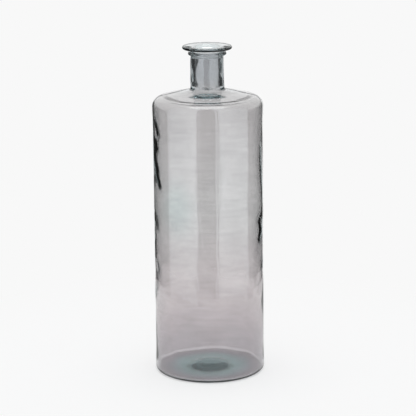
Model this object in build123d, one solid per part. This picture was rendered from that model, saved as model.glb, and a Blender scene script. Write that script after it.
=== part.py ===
from build123d import *
import os
from math import asin, cos, degrees, radians, sin, tan

# A tall bottle vase, mouth-blown in a mould from recycled glass.
# Millimetres, +Z up, origin on the axis at the plane that the vase stands on.
# Every zone is a body of revolution, drawn as a closed half section in the XZ plane.

# Overall sizes
total_height = 750.0
body_diameter = 250.0

# Base: a floor pushed up a little from below, with a rounded heel and a short upstand.
# The glass gathers in the middle of the floor, in a dome.
base_height = 24.0
floor_thickness = 5.0
heel_radius = 9.0
inner_heel_radius = 5.0
push_up_diameter = 112.0
push_up_height = 4.0
floor_dome_diameter = 124.0
floor_dome_height = 13.0

# Body wall and shoulder, blown to one thickness
wall_thickness = 3.5
shoulder_corner_radius = 21.0
shoulder_slope_angle = 14.0
neck_foot_fillet_radius = 5.0

# Collar: round the neck's foot the shoulder thickens, because its inside is less steep there
collar_diameter = 136.0
collar_slope_angle = 7.0
inner_foot_fillet_radius = 15.0

# Neck: thick, because the glass is hardly blown out there, and drawn in a little towards the top
neck_length = 77.0
neck_foot_diameter = 76.0
neck_top_diameter = 74.2
throat_diameter = 56.0

# String ring: a bead of glass laid round the neck, right under the lip
string_ring_diameter = 86.0
string_ring_height = 8.0

# Lip: a flange folded out of the neck, with a round edge and a slightly dished top
lip_height = 13.0
lip_diameter = 111.6
lip_edge_thickness = 7.5
lip_dish_angle = 4.0
mouth_rounding_radius = 6.0

# Radii of the surfaces that the zones share
body_radius = body_diameter / 2
cavity_radius = body_radius - wall_thickness
push_up_radius = push_up_diameter / 2
floor_dome_radius = floor_dome_diameter / 2
collar_radius = collar_diameter / 2
neck_foot_radius = neck_foot_diameter / 2
neck_top_radius = neck_top_diameter / 2
throat_radius = throat_diameter / 2
string_ring_radius = string_ring_diameter / 2
lip_radius = lip_diameter / 2
lip_edge_radius = lip_edge_thickness / 2

# Ends of a section's edges that lie closer than this are one point
point_tolerance = 1e-6


def at(radius, height):
    """A point of the section plane, as far from the axis and as high as given."""
    return Vector(radius, 0, height)


def on_circle(centre, radius, angle):
    """The point of a circle about centre, at an angle up from the outward direction."""
    return at(centre.X + radius * cos(radians(angle)), centre.Z + radius * sin(radians(angle)))


def arc(centre, radius, start_angle, end_angle):
    """The arc of a circle in the section plane, between two angles."""
    middle_angle = (start_angle + end_angle) / 2
    return ThreePointArc(
        on_circle(centre, radius, start_angle),
        on_circle(centre, radius, middle_angle),
        on_circle(centre, radius, end_angle),
    )


def section(*path):
    """The closed section that runs through the given points and arcs in order."""
    edges = []
    for this, following in zip(path, path[1:] + path[:1]):
        end = this if isinstance(this, Vector) else this @ 1
        start = following if isinstance(following, Vector) else following @ 0
        if not isinstance(this, Vector):
            edges.append(this)
        if (start - end).length > point_tolerance:
            edges.append(Line(end, start))
    return make_face(edges)


def turned(*path):
    """The body that the section makes when it is turned about the vase's axis."""
    return revolve(section(*path), axis=Axis.Z)


def bell_points(foot_radius, foot_height, rise):
    """Five points of a bell curve, from its foot to its crown on the axis.

    The curve is two equal arcs, level at the foot and at the crown, that meet half way.
    """
    swing = (foot_radius**2 + rise**2) / (4 * rise)
    half_turn = degrees(asin(foot_radius / 2 / swing)) / 2
    foot_centre = at(foot_radius, foot_height + swing)
    crown_centre = at(0, foot_height + rise - swing)
    return [
        on_circle(foot_centre, swing, -90),
        on_circle(foot_centre, swing, -90 - half_turn),
        at(foot_radius / 2, foot_height + rise / 2),
        on_circle(crown_centre, swing, 90 - half_turn),
        on_circle(crown_centre, swing, 90),
    ]


def bell(points):
    """The two arcs through the five points of a bell curve."""
    return ThreePointArc(*points[:3]), ThreePointArc(*points[2:])


# Heights of the joints between the zones, counted down from the lip.
# The shoulder's cone starts where its corner has turned from upright to the slope.
slope = radians(shoulder_slope_angle)
collar_slope = radians(collar_slope_angle)
corner_end_angle = 90 - shoulder_slope_angle
collar_end_angle = 90 - collar_slope_angle
inner_corner_radius = shoulder_corner_radius - wall_thickness
corner_centre_radius = body_radius - shoulder_corner_radius


def cone_rise(corner_radius, radius):
    """How far the cone that leaves a corner lies above the corner's centre, at a radius."""
    corner_end_radius = corner_centre_radius + corner_radius * sin(slope)
    return corner_radius * cos(slope) + (corner_end_radius - radius) * tan(slope)


# The rises of the two fillets are those of their centres.
outer_fillet_centre_radius = neck_foot_radius + neck_foot_fillet_radius
inner_fillet_centre_radius = throat_radius + inner_foot_fillet_radius
outer_cone_rise = cone_rise(shoulder_corner_radius, outer_fillet_centre_radius)
outer_fillet_rise = outer_cone_rise + neck_foot_fillet_radius / cos(slope)
collar_foot_rise = cone_rise(inner_corner_radius, collar_radius)
collar_top_rise = collar_foot_rise + (collar_radius - inner_fillet_centre_radius) * tan(collar_slope)
inner_fillet_rise = collar_top_rise + inner_foot_fillet_radius / cos(collar_slope)
shoulder_height = max(outer_fillet_rise, inner_fillet_rise)

lip_foot = total_height - lip_height
string_ring_foot = lip_foot - string_ring_height
shoulder_top = lip_foot - neck_length
shoulder_foot = shoulder_top - shoulder_height
corner_centre = at(corner_centre_radius, shoulder_foot)


def make_base():
    """The floor of the vase, with its push-up, dome, heel and the upstand that carries the wall."""
    heel_centre = at(body_radius - heel_radius, heel_radius)
    inner_heel_centre = at(cavity_radius - inner_heel_radius, floor_thickness + inner_heel_radius)
    return turned(
        *bell(bell_points(push_up_radius, 0, push_up_height)),
        *bell(bell_points(floor_dome_radius, floor_thickness, floor_dome_height)[::-1]),
        arc(inner_heel_centre, inner_heel_radius, -90, 0),
        at(cavity_radius, base_height),
        at(body_radius, base_height),
        arc(heel_centre, heel_radius, 0, -90),
    )


def make_body_wall():
    """The upright wall between the base and the shoulder, a plain tube."""
    return turned(
        at(cavity_radius, base_height),
        at(cavity_radius, shoulder_foot),
        at(body_radius, shoulder_foot),
        at(body_radius, base_height),
    )


def make_shoulder():
    """The round corner, low cone and thick collar that close the body, up to the foot of the neck."""
    outer_fillet_centre = at(outer_fillet_centre_radius, shoulder_foot + outer_fillet_rise)
    inner_fillet_centre = at(inner_fillet_centre_radius, shoulder_foot + inner_fillet_rise)
    return turned(
        arc(corner_centre, shoulder_corner_radius, 0, corner_end_angle),
        arc(outer_fillet_centre, neck_foot_fillet_radius, corner_end_angle - 180, -180),
        at(neck_foot_radius, shoulder_top),
        at(throat_radius, shoulder_top),
        arc(inner_fillet_centre, inner_foot_fillet_radius, -180, collar_end_angle - 180),
        at(collar_radius, shoulder_foot + collar_foot_rise),
        arc(corner_centre, inner_corner_radius, corner_end_angle, 0),
    )


def make_neck():
    """The thick tube of the neck, drawn in up to the string ring and straight behind it."""
    return turned(
        at(throat_radius, shoulder_top),
        at(neck_foot_radius, shoulder_top),
        at(neck_top_radius, string_ring_foot),
        at(neck_top_radius, lip_foot),
        at(throat_radius, lip_foot),
    )


def make_string_ring():
    """The bead round the neck's top: flat where it was laid on, half round outside."""
    bead_radius = string_ring_height / 2
    bead_centre = at(string_ring_radius - bead_radius, string_ring_foot + bead_radius)
    return turned(
        at(neck_top_radius, string_ring_foot),
        arc(bead_centre, bead_radius, -90, 90),
        at(neck_top_radius, lip_foot),
    )


def make_lip():
    """The flange of the mouth: trumpet-shaped below, half round at the edge, dished on top."""
    edge_centre = at(lip_radius - lip_edge_radius, total_height - lip_edge_radius)
    reach = edge_centre.X - neck_top_radius
    drop = lip_height - lip_edge_thickness
    trumpet_radius = (reach**2 + drop**2) / (2 * drop)
    trumpet_centre = edge_centre - at(0, lip_edge_radius + trumpet_radius)
    flare_angle = degrees(asin(reach / trumpet_radius))

    # The dished top is the line that touches both the edge's round and the mouth's round.
    dish_sine = sin(radians(lip_dish_angle))
    dish_cosine = cos(radians(lip_dish_angle))
    mouth_centre_radius = throat_radius + mouth_rounding_radius
    dish_reach = edge_centre.X - mouth_centre_radius
    mouth_drop = (mouth_rounding_radius - lip_edge_radius + dish_reach * dish_sine) / dish_cosine
    mouth_centre = at(mouth_centre_radius, edge_centre.Z - mouth_drop)
    return turned(
        arc(trumpet_centre, trumpet_radius, 90 + flare_angle, 90),
        arc(edge_centre, lip_edge_radius, -90, 90 + lip_dish_angle),
        arc(mouth_centre, mouth_rounding_radius, 90 + lip_dish_angle, 180),
        at(throat_radius, lip_foot),
    )


pieces = {
    "base": make_base(),
    "body_wall": make_body_wall(),
    "shoulder": make_shoulder(),
    "neck": make_neck(),
    "string_ring": make_string_ring(),
    "lip": make_lip(),
}

os.makedirs("parts", exist_ok=True)
for node, piece in pieces.items():
    export_step(piece, f"parts/{node}.step")
    print(node, "volume", round(piece.volume), "height", round(piece.bounding_box().size.Z, 2))
print("body wall from", base_height, "to", round(shoulder_foot, 2), "neck from", round(shoulder_top, 2))
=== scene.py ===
import math

import bpy
import numpy as np
from mathutils import Matrix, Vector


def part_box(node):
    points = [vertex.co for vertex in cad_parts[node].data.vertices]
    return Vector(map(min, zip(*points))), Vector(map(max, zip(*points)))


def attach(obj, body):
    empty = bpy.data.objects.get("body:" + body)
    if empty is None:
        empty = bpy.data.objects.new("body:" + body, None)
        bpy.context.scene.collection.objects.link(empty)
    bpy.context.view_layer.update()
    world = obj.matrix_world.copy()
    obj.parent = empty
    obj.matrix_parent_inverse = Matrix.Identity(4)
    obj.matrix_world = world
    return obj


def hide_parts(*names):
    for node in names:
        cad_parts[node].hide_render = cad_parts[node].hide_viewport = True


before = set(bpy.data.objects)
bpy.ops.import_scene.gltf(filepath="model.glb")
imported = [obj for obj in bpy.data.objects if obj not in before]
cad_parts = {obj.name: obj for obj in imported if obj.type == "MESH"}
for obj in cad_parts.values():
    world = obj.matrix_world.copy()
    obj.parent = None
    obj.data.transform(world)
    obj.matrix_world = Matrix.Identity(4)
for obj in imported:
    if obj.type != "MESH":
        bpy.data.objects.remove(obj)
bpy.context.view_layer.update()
print("frame loaded")


# Vessel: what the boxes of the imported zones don't say, in metres and degrees
vessel = {
    "wallThickness": 0.0035,
    "floorThickness": 0.005,
    "heelRadius": 0.009,
    "innerHeelRadius": 0.005,
    "pushUpRadius": 0.056,
    "pushUpHeight": 0.004,
    "domeRadius": 0.062,
    "domeHeight": 0.013,
    "shoulderCorner": 0.021,
    "shoulderSlope": 14.0,
    "footFillet": 0.005,
    "innerFootFillet": 0.015,
    "shoulderThickness": (  # distance from the axis, thickness
        (0.035, 0.0050),
        (0.068, 0.0044),
        (0.088, 0.0043),
        (0.100, 0.0036),
        (0.125, 0.0034),
    ),
    "thicknessSamples": (0.03, 0.13, 1001),  # from, to, how many
    "thicknessBlur": 20,  # samples to each side
    "coneSteps": 48,
    "neckTopRadius": 0.0371,
    "throatRadius": 0.028,
    "lipEdge": 0.0075,
    "lipDish": 4.0,
    "mouthRounding": 0.012,
    "stepsAround": 256,
}


def linePoints(start, end, steps):
    # Even steps from start to end, without the last point.
    t = np.linspace(0.0, 1.0, steps, endpoint=False)[:, None]
    return np.array(start) * (1 - t) + np.array(end) * t


def arcPoints(centre, radius, startAngle, endAngle, steps):
    # Circle about centre: radius times cosine outwards, radius times sine upwards, without the last point.
    a = np.radians(np.linspace(startAngle, endAngle, steps, endpoint=False))
    return np.column_stack([centre[0] + radius * np.cos(a), centre[1] + radius * np.sin(a)])


def bellPoints(foot, radius, height, outwards, steps):
    # Bell: foot height plus half its height times one plus the cosine of pi r / radius.
    r = np.linspace(0.0, radius, steps + 1)
    z = foot + height / 2 * (1 + np.cos(math.pi * r / radius))
    points = np.column_stack([r, z])
    return points[:-1] if outwards else points[::-1]


def filletRise(corner, fillet, filletCentreRadius, cornerCentreRadius, slope):
    # Height of a fillet's centre over the corner's, the fillet lying on the cone that leaves the corner.
    reachIn = cornerCentreRadius + corner * math.sin(slope) - filletCentreRadius
    return corner * math.cos(slope) + (fillet + reachIn * math.sin(slope)) / math.cos(slope)


def vesselProfile():
    # Half outline: up the outside from the axis to the lip, then down the inside to the axis, in lines, arcs and
    # bells. The inner cone lies under the outer one by its thickness over the cosine of the slope.
    v = vessel
    bodyRadius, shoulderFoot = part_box("body_wall")[1].x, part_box("body_wall")[1].z
    neckFootRadius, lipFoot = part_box("neck")[1].x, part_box("neck")[1].z
    ringRadius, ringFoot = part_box("string_ring")[1].x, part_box("string_ring")[0].z
    lipRadius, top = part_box("lip")[1].x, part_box("lip")[1].z
    wall, slope = v["wallThickness"], math.radians(v["shoulderSlope"])
    cavity = bodyRadius - wall
    cornerEnd = 90 - v["shoulderSlope"]

    corner = (bodyRadius - v["shoulderCorner"], shoulderFoot)
    footCentre = neckFootRadius + v["footFillet"]
    innerFootCentre = v["throatRadius"] + v["innerFootFillet"]
    innerCorner = v["shoulderCorner"] - wall
    innerConeFootRadius = corner[0] + innerCorner * math.sin(slope)
    footRise = filletRise(v["shoulderCorner"], v["footFillet"], footCentre, corner[0], slope)
    coneFoot = (corner[0] + v["shoulderCorner"] * math.sin(slope),
                corner[1] + v["shoulderCorner"] * math.cos(slope))
    coneTop = (footCentre - v["footFillet"] * math.sin(slope),
               shoulderFoot + footRise - v["footFillet"] * math.cos(slope))

    # Thickness under the cone, rounded off by a moving mean
    knots = np.array(v["shoulderThickness"])
    fine = np.linspace(*v["thicknessSamples"])
    blur = v["thicknessBlur"]
    depth = np.pad(np.interp(fine, knots[:, 0], knots[:, 1]), blur, mode="edge")
    depth = np.convolve(depth, np.ones(2 * blur + 1) / (2 * blur + 1), "valid")
    coneRadius = np.linspace(innerConeFootRadius, innerFootCentre, v["coneSteps"])
    coneHeight = coneFoot[1] + (coneFoot[0] - coneRadius) * math.tan(slope)
    coneHeight -= np.interp(coneRadius, fine, depth) / math.cos(slope)
    endSlope = math.atan2(coneHeight[-1] - coneHeight[-3], coneRadius[-3] - coneRadius[-1])
    innerCentreHeight = coneHeight[-1] + v["innerFootFillet"] / math.cos(endSlope)
    keep = coneRadius > innerFootCentre - v["innerFootFillet"] * math.sin(endSlope)
    innerCone = np.column_stack([coneRadius[keep], coneHeight[keep]])[::-1][:-1]
    innerFootEnd = -90 - math.degrees(endSlope)

    bead = (lipFoot - ringFoot) / 2
    edge = v["lipEdge"] / 2
    edgeCentre = (lipRadius - edge, top - edge)
    reach = edgeCentre[0] - v["neckTopRadius"]
    drop = top - lipFoot - v["lipEdge"]
    trumpet = (reach**2 + drop**2) / (2 * drop)
    trumpetCentre = (edgeCentre[0], edgeCentre[1] - edge - trumpet)
    flare = math.degrees(math.asin(reach / trumpet))
    dish = math.radians(v["lipDish"])
    mouthCentre = v["throatRadius"] + v["mouthRounding"]
    dishReach = edgeCentre[0] - mouthCentre
    mouthDrop = (v["mouthRounding"] - edge + dishReach * math.sin(dish)) / math.cos(dish)
    mouth = (mouthCentre, edgeCentre[1] - mouthDrop)
    edgeTop = (edgeCentre[0] - edge * math.sin(dish), edgeCentre[1] + edge * math.cos(dish))

    heel, innerHeel = v["heelRadius"], v["innerHeelRadius"]
    floor = v["floorThickness"]
    footArcCentre = (footCentre, shoulderFoot + footRise)
    outer = np.concatenate([
        bellPoints(0.0, v["pushUpRadius"], v["pushUpHeight"], True, steps=12),
        linePoints((v["pushUpRadius"], 0.0), (bodyRadius - heel, 0.0), steps=6),
        arcPoints((bodyRadius - heel, heel), heel, -90, 0, steps=8),
        linePoints((bodyRadius, heel), (bodyRadius, shoulderFoot), steps=58),
        arcPoints(corner, v["shoulderCorner"], 0, cornerEnd, steps=16),
        linePoints(coneFoot, coneTop, steps=8),
        arcPoints(footArcCentre, v["footFillet"], cornerEnd - 180, -180, steps=8),
        linePoints((neckFootRadius, footArcCentre[1]), (v["neckTopRadius"], ringFoot), steps=12),
        linePoints((v["neckTopRadius"], ringFoot), (ringRadius - bead, ringFoot), steps=3),
        arcPoints((ringRadius - bead, ringFoot + bead), bead, -90, 90, steps=12),
        linePoints((ringRadius - bead, lipFoot), (v["neckTopRadius"], lipFoot), steps=3),
        arcPoints(trumpetCentre, trumpet, 90 + flare, 90, steps=8),
        arcPoints(edgeCentre, edge, -90, 90 + v["lipDish"], steps=12),
    ])
    mouthSide = arcPoints(mouth, v["mouthRounding"], 90 + v["lipDish"], 180, steps=8)
    inner = np.concatenate([
        linePoints(edgeTop, mouthSide[0], steps=5),
        mouthSide,
        linePoints((v["throatRadius"], mouth[1]), (v["throatRadius"], innerCentreHeight), steps=22),
        arcPoints((innerFootCentre, innerCentreHeight), v["innerFootFillet"], -180, innerFootEnd, steps=8),
        innerCone,
        arcPoints(corner, innerCorner, cornerEnd, 0, steps=14),
        linePoints((cavity, shoulderFoot), (cavity, floor + innerHeel), steps=88),
        arcPoints((cavity - innerHeel, floor + innerHeel), innerHeel, 0, -90, steps=8),
        linePoints((cavity - innerHeel, floor), (v["domeRadius"], floor), steps=6),
        bellPoints(floor, v["domeRadius"], v["domeHeight"], False, steps=16),
    ])
    return outer, inner


# Unevenness of blown glass: metres, degrees from +X, and climb in turns per metre of height
uneven = {
    "outside": {"seed": 4, "turns": (2, 9), "climb": 4.0, "size": 0.00004},
    "outsideLow": {"seed": 8, "turns": (4, 12), "climb": 18.0, "size": 0.00030},
    "inside": {"seed": 5, "turns": (2, 12), "climb": 5.0, "size": 0.00030},
    "throat": {"seed": 21, "turns": (2, 7), "climb": 14.0, "size": 0.0004},
    "ragged": {"seed": 6, "turns": (1, 4), "climb": 26.0, "size": 3.2},  # size in degrees
    "lowBand": (0.10, 0.33, 0.07),  # foot, head, fade
    "bodyFade": 0.04,
    "neckFade": 0.012,
    "thickSides": (  # angle, half width, foot, head, share of the depth
        (180, 33, 0.41, 0.645, 0.85),
        (180, 33, 0.31, 0.385, 0.40),
        (0, 36, 0.28, 0.39, 0.7),
    ),
    "sideDepth": 0.0022,
    "sideFade": 0.04,
    "neckLean": -0.0006,
    "frontExtra": (  # distance from the axis, added thickness
        (0.035, 0.0044),
        (0.050, 0.0034),
        (0.072, 0.0),
        (0.088, 0.0),
        (0.0925, 0.0014),
        (0.098, 0.0),
    ),
    "frontSide": (270, 46),  # angle, half width
    "frontFade": (0.006, 0.015),  # end above the neck's foot, length
}


def waves(around, height, kind):
    # Sum of cosines of whole turns round the vase plus slow turns up it. Its mean square is the size squared.
    rng = np.random.default_rng(kind["seed"])
    low, high = kind["turns"]
    total = np.zeros(np.broadcast(around, height).shape)
    for turns in range(low, high + 1):
        climb = rng.uniform(-kind["climb"], kind["climb"])
        phase = rng.uniform(0.0, 2 * math.pi)
        total += np.cos(turns * around + 2 * math.pi * climb * height + phase)
    return total * kind["size"] * math.sqrt(2 / (high - low + 1))


def smooth(t):
    # Smooth step: 3 t squared less 2 t cubed, between nothing and one.
    t = np.clip(t, 0, 1)
    return t * t * (3 - 2 * t)


def fadeBetween(height, low, high, fade):
    # Product of a smooth step up from low and a smooth step down to high, each as long as the fade.
    return smooth((height - low) / fade) * smooth((high - height) / fade)


def degreesApart(around, angle):
    # Angle between a direction and the given one, the short way round, in degrees.
    return np.abs((np.degrees(around) - angle + 180) % 360 - 180)


def plateau(apart, halfWidth):
    # One over the inner half of the width, falling by a smooth step to nothing at its edge.
    return smooth(2 - 2 * apart / halfWidth)


def thickSides(around, height):
    # Highest of the thick sides: a plateau round the wall, its edge wandering with waves up it, times a smooth
    # band in height.
    total = np.zeros(np.broadcast(around, height).shape)
    ragged = waves(around, height, uneven["ragged"])
    for angle, halfWidth, foot, head, share in uneven["thickSides"]:
        hill = plateau(degreesApart(around, angle) + ragged, halfWidth)
        hill *= fadeBetween(height, foot, head, uneven["sideFade"])
        total = np.maximum(total, share * hill)
    return total


def makeVessel():
    # Profile turned round the axis: x is r times cosine, y is r times sine. Waves and thick sides move r, and
    # the front's added thickness lowers the inner cone.
    outer, inner = vesselProfile()
    profile = np.concatenate([outer, inner])
    isInner = (np.arange(len(profile)) >= len(outer))[:, None]
    steps = vessel["stepsAround"]
    around = np.linspace(0.0, 2 * math.pi, steps, endpoint=False)[None, :]
    r = np.repeat(profile[:, :1], steps, axis=1)
    z = np.repeat(profile[:, 1:], steps, axis=1)

    bodyLow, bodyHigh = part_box("base")[1].z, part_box("body_wall")[1].z
    neckLow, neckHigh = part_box("neck")[0].z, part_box("string_ring")[0].z
    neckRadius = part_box("neck")[1].x
    onWall = fadeBetween(z, bodyLow, bodyHigh, uneven["bodyFade"]) * (r > neckRadius)
    onNeck = fadeBetween(z, neckLow, neckHigh, uneven["neckFade"]) * (r <= neckRadius)
    outside = waves(around, z, uneven["outside"])
    outside += waves(around, z, uneven["outsideLow"]) * fadeBetween(z, *uneven["lowBand"])
    outside = outside - outside.max()
    inside = waves(around, z, uneven["inside"]) - uneven["sideDepth"] * thickSides(around, z)
    throat = waves(around, z, uneven["throat"])
    r = r + np.where(isInner, inside * onWall + throat * onNeck, outside * onWall)

    angle, halfWidth = uneven["frontSide"]
    fadeEnd, fadeLength = uneven["frontFade"]
    extraRadius, extraDepth = np.array(uneven["frontExtra"]).T
    onShoulder = (z > bodyHigh) * smooth((neckLow + fadeEnd - z) / fadeLength)
    onFront = plateau(degreesApart(around, angle), halfWidth)
    extra = np.interp(r, extraRadius, extraDepth) * onFront * onShoulder
    z = z - np.where(isInner, extra, 0.0)
    x = r * np.cos(around) + uneven["neckLean"] * onNeck
    y = r * np.sin(around)

    # Rings of the grid, then the two points on the axis, closed by fans
    rings = np.stack([x, y, z], axis=-1)[1:-1].reshape(-1, 3)
    poles = np.array([[0, 0, profile[0, 1]], [0, 0, profile[-1, 1]]])
    verts = np.concatenate([rings, poles])
    rows = len(profile) - 2
    i = np.arange(rows - 1)[:, None] * steps
    j = np.arange(steps)[None, :]
    k = (j + 1) % steps
    quads = np.stack([i + j, i + k, i + steps + k, i + steps + j], axis=-1).reshape(-1, 4)
    j, k = j[0], k[0]
    end = (rows - 1) * steps
    lowFan = np.stack([np.full(steps, rows * steps), k, j], axis=-1)
    highFan = np.stack([np.full(steps, rows * steps + 1), end + j, end + k], axis=-1)
    mesh = bpy.data.meshes.new("vessel_glass")
    mesh.from_pydata(verts.tolist(), [], quads.tolist() + lowFan.tolist() + highFan.tolist())
    mesh.update()
    mesh.polygons.foreach_set("use_smooth", np.ones(len(mesh.polygons), bool))
    piece = bpy.data.objects.new("vessel_glass", mesh)
    bpy.context.scene.collection.objects.link(piece)
    print("vessel", len(verts), "points,", 2 * rows * steps, "triangles")
    return piece


# Glass: colours are linear red, green and blue, heights and distances from the axis in metres
glass = {
    # the glass's tint up the vase, with painted shade making it darker towards the bottom
    "tintWithPaintedShadeByHeight": (
        (0.000, (0.690, 0.662, 0.678)),
        (0.045, (0.675, 0.642, 0.658)),
        (0.085, (0.704, 0.666, 0.682)),
        (0.125, (0.744, 0.704, 0.712)),
        (0.175, (0.808, 0.770, 0.776)),
        (0.270, (0.786, 0.760, 0.763)),
        (0.350, (0.800, 0.790, 0.790)),
        (0.440, (0.798, 0.785, 0.786)),
        (0.560, (0.764, 0.747, 0.750)),
        (0.640, (0.772, 0.752, 0.752)),
        (0.680, (0.700, 0.690, 0.705)),
        (0.735, (0.700, 0.695, 0.710)),
        (0.745, (0.925, 0.925, 0.925)),
    ),
    "floorTint": (0.640, 0.660, 0.700),
    "floorAcross": (0.085, 0.112),  # full, none
    "floorUp": (0.026, 0.030),  # full, none
    "domeTint": (0.600, 0.830, 0.805),
    "domeAcross": (0.060, 0.100),  # full, none
    # painted highlight: a ring of untinted glass at the heel, for the heel's bright line
    "heelPaintedHighlight": (1.000, 1.000, 1.000),
    "heelHighlightAcross": (0.116, 0.119, 0.122, 0.123),  # none, full, still full, none
    "heelHighlightUp": (0.0036, 0.0046, 0.0080, 0.0120),
    # painted shade: nearly black glass under the rim
    "rimPaintedShade": (0.008, 0.013, 0.014),
    "rimAcross": (0.0455, 0.0510),  # none, full
    "rimDepth": 0.0026,
    "rimFade": 0.0010,
    "poolTint": (0.890, 0.960, 0.955),
    "poolPlace": (-0.070, -0.100, 0.400),
    "poolSize": (0.045, 0.060, 0.070),
    "poolShares": (0.2, 1.3),  # full, none, in shares of its size
    "clouds": (  # size, depth, detail
        ((0.060, 0.060, 0.045), 0.090, 3.0),
        ((0.120, 0.120, 0.009), 0.060, 2.0),
    ),
    "ior": 1.5,
    "roughness": 0.01,
    "thickColour": (0.0, 0.18, 0.20, 1.0),
    "thickDensity": 17.0,
}


def mathNode(tree, operation, a, b=None):
    # One sum of two numbers or sockets.
    node = tree.nodes.new("ShaderNodeMath")
    node.operation = operation
    for socket, value in zip(node.inputs, (a, b)):
        if isinstance(value, (int, float)):
            socket.default_value = value
        elif value is not None:
            tree.links.new(value, socket)
    return node.outputs[0]


def easeNode(tree, value, low, high):
    # Smooth step of a socket from nothing at low to one at high.
    node = tree.nodes.new("ShaderNodeMapRange")
    node.interpolation_type = "SMOOTHSTEP"
    tree.links.new(value, node.inputs["Value"])
    node.inputs["From Min"].default_value = low
    node.inputs["From Max"].default_value = high
    return node.outputs["Result"]


def bandNode(tree, value, start, full, stillFull, end):
    # Smooth step up from start to full, less the smooth step from stillFull to end.
    rising, falling = easeNode(tree, value, start, full), easeNode(tree, value, stillFull, end)
    return mathNode(tree, "SUBTRACT", rising, falling)


def lengthNode(tree, vector):
    # Length of a vector socket.
    node = tree.nodes.new("ShaderNodeVectorMath")
    node.operation = "LENGTH"
    tree.links.new(vector, node.inputs[0])
    return node.outputs["Value"]


def mixColours(tree, factor, a, b, blend="MIX"):
    # Blend of two colours or colour sockets by a factor.
    node = tree.nodes.new("ShaderNodeMix")
    node.data_type = "RGBA"
    node.blend_type = blend
    for socket, value in zip((node.inputs[0], node.inputs[6], node.inputs[7]), (factor, a, b)):
        if isinstance(value, (int, float)):
            socket.default_value = value
        elif isinstance(value, tuple):
            socket.default_value = (*value, 1.0)
        else:
            tree.links.new(value, socket)
    return node.outputs[2]


def noiseNode(tree, place, size, detail):
    # Noise between nothing and one whose features are as long as size along each axis.
    stretch = tree.nodes.new("ShaderNodeMapping")
    stretch.inputs["Scale"].default_value = [1 / length for length in size]
    tree.links.new(place, stretch.inputs["Vector"])
    noise = tree.nodes.new("ShaderNodeTexNoise")
    noise.inputs["Scale"].default_value = 1.0
    noise.inputs["Detail"].default_value = detail
    tree.links.new(stretch.outputs["Vector"], noise.inputs["Vector"])
    return noise.outputs["Fac"]


def makeTintAndPaintedLight(tree):
    # Tint and painted light: a ramp up the vase, the glass's tint with painted shade making it darker towards
    # the bottom, then over it the floor with its green dome, a painted highlight as a ring of untinted glass at
    # the heel, painted shade under the rim and a pool of cleaner glass, and all of it times clouds and fine
    # level bands.
    place = tree.nodes.new("ShaderNodeTexCoord").outputs["Object"]
    split = tree.nodes.new("ShaderNodeSeparateXYZ")
    tree.links.new(place, split.inputs[0])
    height = split.outputs["Z"]
    lipFoot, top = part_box("neck")[1].z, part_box("lip")[1].z

    # Ramp: the glass's tint up the vase, with painted shade making it darker towards the bottom
    ramp = tree.nodes.new("ShaderNodeValToRGB")
    tree.links.new(mathNode(tree, "DIVIDE", height, top), ramp.inputs["Fac"])
    stops = glass["tintWithPaintedShadeByHeight"]
    ends = ramp.color_ramp.elements
    ends[0].position, ends[0].color = 0.0, (*stops[0][1], 1.0)
    ends[1].position, ends[1].color = 1.0, (*stops[-1][1], 1.0)
    for stop, colour in stops[1:]:
        ramp.color_ramp.elements.new(stop / top).color = (*colour, 1.0)
    colour = ramp.outputs["Color"]

    flat = tree.nodes.new("ShaderNodeCombineXYZ")
    tree.links.new(split.outputs["X"], flat.inputs["X"])
    tree.links.new(split.outputs["Y"], flat.inputs["Y"])
    across = lengthNode(tree, flat.outputs[0])

    onFloor = mathNode(tree, "MULTIPLY", easeNode(tree, across, *glass["floorAcross"][::-1]),
                       easeNode(tree, height, *glass["floorUp"][::-1]))
    onDome = easeNode(tree, across, *glass["domeAcross"][::-1])
    floorColour = mixColours(tree, onDome, glass["floorTint"], glass["domeTint"])
    colour = mixColours(tree, onFloor, colour, floorColour)

    # Painted highlight: the glass at the heel is left untinted to give a bright line
    inHeelHighlight = mathNode(tree, "MULTIPLY", bandNode(tree, across, *glass["heelHighlightAcross"]),
                      bandNode(tree, height, *glass["heelHighlightUp"]))
    colour = mixColours(tree, inHeelHighlight, colour, glass["heelPaintedHighlight"])

    # Painted shade: the underside of the rim is darkened to nearly black
    fade, rimTop = glass["rimFade"], top - glass["rimDepth"]
    paintedShadeUnderRim = bandNode(tree, height, lipFoot, lipFoot + fade, rimTop - fade / 2, rimTop + fade / 2)
    paintedShadeUnderRim = mathNode(tree, "MULTIPLY", paintedShadeUnderRim, easeNode(tree, across, *glass["rimAcross"]))
    colour = mixColours(tree, paintedShadeUnderRim, colour, glass["rimPaintedShade"])

    pool = tree.nodes.new("ShaderNodeMapping")
    pool.vector_type = "TEXTURE"
    pool.inputs["Location"].default_value = glass["poolPlace"]
    pool.inputs["Scale"].default_value = glass["poolSize"]
    tree.links.new(place, pool.inputs["Vector"])
    inPool = easeNode(tree, lengthNode(tree, pool.outputs["Vector"]), *glass["poolShares"][::-1])
    colour = mixColours(tree, inPool, colour, mixColours(tree, 1.0, colour, glass["poolTint"], "MULTIPLY"))

    for size, depth, detail in glass["clouds"]:
        cloud = mathNode(tree, "MULTIPLY_ADD", noiseNode(tree, place, size, detail), 2 * depth)
        cloud.node.inputs[2].default_value = 1 - depth
        grey = tree.nodes.new("ShaderNodeCombineColor")
        for channel in grey.inputs:
            tree.links.new(cloud, channel)
        colour = mixColours(tree, 1.0, colour, grey.outputs["Color"], "MULTIPLY")
    return colour


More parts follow.
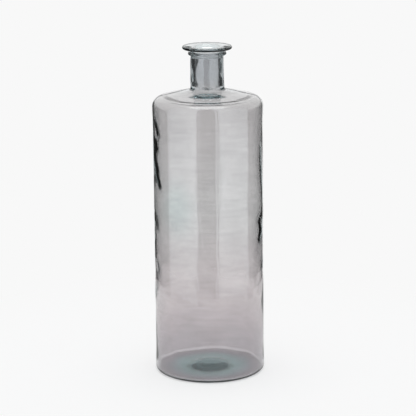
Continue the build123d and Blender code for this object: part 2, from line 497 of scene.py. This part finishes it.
def makeGlass():
    material = bpy.data.materials.new("tinted_glass")
    material.use_nodes = True
    tree = material.node_tree
    tree.nodes.clear()
    output = tree.nodes.new("ShaderNodeOutputMaterial")
    shader = tree.nodes.new("ShaderNodeBsdfPrincipled")
    tree.links.new(makeTintAndPaintedLight(tree), shader.inputs["Base Color"])
    shader.inputs["Transmission Weight"].default_value = 1.0
    shader.inputs["IOR"].default_value = glass["ior"]
    shader.inputs["Roughness"].default_value = glass["roughness"]
    absorption = tree.nodes.new("ShaderNodeVolumeAbsorption")
    absorption.inputs["Color"].default_value = glass["thickColour"]
    absorption.inputs["Density"].default_value = glass["thickDensity"]
    tree.links.new(shader.outputs["BSDF"], output.inputs["Surface"])
    tree.links.new(absorption.outputs["Volume"], output.inputs["Volume"])
    print("glass mixed")
    return material


# Studio: light levels are linear, angles are degrees from the camera's side or climbs over the horizon
studio = {
    "backdrop": 0.939,
    "backdropFrom": (165.0, 157.0),  # left, right
    "backdropFade": 1.0,
    "dark": 0.06,
    "softboxNear": 1.65,
    "softboxFar": 1.15,
    "softboxFall": (20.0, 100.0),  # near, far
    "softboxFrom": (23.7, 15.2),  # left, right
    "softboxTo": (93.0, 91.0),
    "softboxFade": (1.0, 2.5),  # at the start, at the end
    "softboxFoot": 0.72,
    "softboxFootClimbs": (-16.5, -12.5),  # foot's level, full level
    "softboxHue": (0.95, 1.01, 1.04),
    "frameFrom": 19.0,
    "frameTo": 21.5,
    "frameFade": 0.5,
    "frameShare": 0.75,
    "sidesMeet": 0.01,
    "behindVase": (88.0, 98.0),  # none, full
    "ceiling": 1.10,
    "ceilingFrom": 3.0,
    "gap": 0.30,
    "gapClimbs": (4.0, 8.0),
    "gapFade": (0.01, 0.02),
    "topLight": 3.8,
    "topLightFrom": 68.0,
    "climbFade": 0.03,
    "throughGlass": (85.0, 95.0),  # full, none
    "refractedLimit": 1.5,  # the step into the world counts as one mirroring
    "fill": 1.043,
    "floorRadius": 0.80,
    "floorSteps": 96,
    "floorDrop": 0.0003,
    "floorPaint": (0.9, 0.9, 0.9, 1.0),
    "floorMirrored": 0.65,
    "shadowShares": ((0.0, 0.6), (0.122, 0.6), (0.128, 0.3)),  # distance from the axis, share of paint
    "shadowEndShare": 0.98,
    "bounces": {"all": 32, "throughGlass": 24, "mirrored": 12},
}


def mixLevels(tree, factor, a, b):
    # Blend of two light levels by a factor.
    node = tree.nodes.new("ShaderNodeMix")
    for name, value in (("Factor", factor), ("A", a), ("B", b)):
        if isinstance(value, (int, float)):
            node.inputs[name].default_value = value
        else:
            tree.links.new(value, node.inputs[name])
    return node.outputs["Result"]


def makeWorld():
    world = bpy.data.worlds.new("studio")
    bpy.context.scene.world = world
    world.use_nodes = True
    tree = world.node_tree
    tree.nodes.clear()
    coordinates = tree.nodes.new("ShaderNodeTexCoord")
    split = tree.nodes.new("ShaderNodeSeparateXYZ")
    tree.links.new(coordinates.outputs["Generated"], split.inputs[0])
    up = split.outputs["Z"]

    # Turn: the compass angle of a ray away from the camera's side, from 0 to 180 degrees
    leastFlat = 0.001  # straight up and down there is nothing to divide by
    flat = mathNode(tree, "SQRT", mathNode(tree, "SUBTRACT", 1.0, mathNode(tree, "MULTIPLY", up, up)))
    toCamera = mathNode(tree, "MULTIPLY", split.outputs["Y"], -1.0)
    toCamera = mathNode(tree, "DIVIDE", toCamera, mathNode(tree, "MAXIMUM", flat, leastFlat))
    toCamera = mathNode(tree, "MINIMUM", mathNode(tree, "MAXIMUM", toCamera, -1.0), 1.0)
    turn = mathNode(tree, "DEGREES", mathNode(tree, "ARCCOSINE", toCamera))
    onRight = easeNode(tree, split.outputs["X"], -studio["sidesMeet"], studio["sidesMeet"])

    def beyond(name, fade):
        # Smooth step from nothing to one as the turn passes the named edge of the ray's own side.
        edge = mixLevels(tree, onRight, *studio[name])
        return easeNode(tree, mathNode(tree, "SUBTRACT", turn, edge), -fade, fade)

    def above(climb, fade=studio["climbFade"]):
        # Smooth step from nothing to one as the ray climbs past an angle over the horizon.
        sine = math.sin(math.radians(climb))
        return easeNode(tree, up, sine - fade, sine + fade)

    # Round the horizon: a dark side at the camera, a softbox each side, dark again, then the backdrop
    startFade, endFade = studio["softboxFade"]
    inSoftbox = mathNode(tree, "SUBTRACT", beyond("softboxFrom", startFade), beyond("softboxTo", endFade))
    falling = easeNode(tree, turn, *studio["softboxFall"])
    softbox = mixLevels(tree, falling, studio["softboxNear"], studio["softboxFar"])
    overFoot = easeNode(tree, up, *(math.sin(math.radians(climb)) for climb in studio["softboxFootClimbs"]))
    softbox = mathNode(tree, "MULTIPLY", softbox, mixLevels(tree, overFoot, studio["softboxFoot"], 1.0))
    start, end, fade = studio["frameFrom"], studio["frameTo"], studio["frameFade"]
    inFrame = bandNode(tree, turn, start - fade, start + fade, end - fade, end + fade)
    inFrame = mathNode(tree, "MULTIPLY", mathNode(tree, "MULTIPLY", inFrame, onRight), studio["frameShare"])
    softbox = mathNode(tree, "MULTIPLY", softbox, mathNode(tree, "SUBTRACT", 1.0, inFrame))
    level = mixLevels(tree, inSoftbox, studio["dark"], softbox)
    level = mixLevels(tree, beyond("backdropFrom", studio["backdropFade"]), level, studio["backdrop"])

    # Over the horizon: a ceiling behind the vase, a dark gap under it, and a top light
    behind = easeNode(tree, turn, *studio["behindVase"])
    onCeiling = mathNode(tree, "MULTIPLY", behind, above(studio["ceilingFrom"]))
    level = mixLevels(tree, onCeiling, level, studio["ceiling"])
    (gapFoot, gapHead), (footFade, headFade) = studio["gapClimbs"], studio["gapFade"]
    inGap = mathNode(tree, "SUBTRACT", above(gapFoot, footFade), above(gapHead, headFade))
    level = mixLevels(tree, mathNode(tree, "MULTIPLY", inGap, behind), level, studio["gap"])
    level = mixLevels(tree, above(studio["topLightFrom"]), level, studio["topLight"])

    # The camera's side shows the backdrop to a ray that was only refracted: the glass is clear from behind too
    path = tree.nodes.new("ShaderNodeLightPath")
    mirrorings = mathNode(tree, "SUBTRACT", path.outputs["Ray Depth"], path.outputs["Transmission Depth"])
    straight = mathNode(tree, "LESS_THAN", mirrorings, studio["refractedLimit"])
    nearSide = easeNode(tree, turn, *studio["throughGlass"][::-1])
    level = mixLevels(tree, mathNode(tree, "MULTIPLY", straight, nearSide), level, studio["backdrop"])
    level = mixLevels(tree, path.outputs["Is Diffuse Ray"], level, studio["fill"])
    level = mixLevels(tree, path.outputs["Is Camera Ray"], level, studio["backdrop"])

    hueShare = mathNode(tree, "MULTIPLY", inSoftbox, mathNode(tree, "SUBTRACT", 1.0, straight))
    background = tree.nodes.new("ShaderNodeBackground")
    hue = mixColours(tree, hueShare, (1.0, 1.0, 1.0), studio["softboxHue"])
    tree.links.new(hue, background.inputs["Color"])
    tree.links.new(level, background.inputs["Strength"])
    output = tree.nodes.new("ShaderNodeOutputWorld")
    tree.links.new(background.outputs[0], output.inputs["Surface"])
    print("studio light set")


def makeFloor():
    # Disc: radius times cosine, radius times sine, just under the vase.
    steps, radius = studio["floorSteps"], studio["floorRadius"]
    around = np.linspace(0, 2 * math.pi, steps, endpoint=False)
    drop = np.full(steps, studio["floorDrop"])
    rim = np.column_stack([radius * np.cos(around), radius * np.sin(around), -drop])
    mesh = bpy.data.meshes.new("studio_floor")
    mesh.from_pydata(rim.tolist(), [], [tuple(range(steps))])
    floor = bpy.data.objects.new("studio_floor", mesh)
    bpy.context.scene.collection.objects.link(floor)

    # Floor paint: it glows like the backdrop, and shades like paint under and close to the vase
    material = bpy.data.materials.new("floor_paint")
    material.use_nodes = True
    tree = material.node_tree
    tree.nodes.clear()
    paint = tree.nodes.new("ShaderNodeBsdfDiffuse")
    paint.inputs["Color"].default_value = studio["floorPaint"]
    glow = tree.nodes.new("ShaderNodeEmission")
    path = tree.nodes.new("ShaderNodeLightPath")
    glossy, through = path.outputs["Is Glossy Ray"], path.outputs["Is Transmission Ray"]
    mirrored = mathNode(tree, "MAXIMUM", mathNode(tree, "SUBTRACT", glossy, through), 0.0)
    level = mixLevels(tree, mirrored, studio["backdrop"], studio["floorMirrored"])
    tree.links.new(level, glow.inputs["Strength"])
    across = lengthNode(tree, tree.nodes.new("ShaderNodeTexCoord").outputs["Object"])
    share = tree.nodes.new("ShaderNodeValToRGB")
    ends = share.color_ramp.elements
    ends[0].position, ends[0].color = 0.0, (*[studio["shadowShares"][0][1]] * 3, 1)
    ends[1].position, ends[1].color = studio["shadowEndShare"], (0, 0, 0, 1)
    for distance, value in studio["shadowShares"][1:]:
        share.color_ramp.elements.new(distance / radius).color = (value, value, value, 1)
    tree.links.new(mathNode(tree, "DIVIDE", across, radius), share.inputs["Fac"])
    mix = tree.nodes.new("ShaderNodeMixShader")
    tree.links.new(share.outputs["Color"], mix.inputs[0])
    tree.links.new(glow.outputs[0], mix.inputs[1])
    tree.links.new(paint.outputs[0], mix.inputs[2])
    output = tree.nodes.new("ShaderNodeOutputMaterial")
    tree.links.new(mix.outputs[0], output.inputs["Surface"])
    mesh.materials.append(material)
    print("floor laid")


# Camera: place in metres, angles in degrees, lens and sensor in millimetres, as the photograph was taken
view = {
    "place": (-0.00146, -4.0826, 1.3714),
    "tiltDown": 13.678,
    "roll": -0.556,
    "lens": 160.0,
    "sensor": 36.0,
    "clip": (0.1, 100.0),
}


def makeCamera():
    data = bpy.data.cameras.new("camera")
    data.sensor_width = view["sensor"]
    data.lens = view["lens"]
    data.clip_start, data.clip_end = view["clip"]
    camera = bpy.data.objects.new("camera", data)
    bpy.context.scene.collection.objects.link(camera)
    camera.matrix_world = (
        Matrix.Translation(view["place"])
        @ Matrix.Rotation(math.radians(90 - view["tiltDown"]), 4, "X")
        @ Matrix.Rotation(math.radians(view["roll"]), 4, "Z")
    )
    bpy.context.scene.camera = camera
    print("camera placed")


makeCamera()
piece = makeVessel()
piece.data.materials.append(makeGlass())
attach(piece, "root")
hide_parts("base", "body_wall", "shoulder", "neck", "string_ring", "lip")
makeWorld()
makeFloor()

scene = bpy.context.scene
scene.view_settings.view_transform = "Standard"
scene.cycles.max_bounces = studio["bounces"]["all"]
scene.cycles.transmission_bounces = studio["bounces"]["throughGlass"]
scene.cycles.glossy_bounces = studio["bounces"]["mirrored"]

print("studio ready")
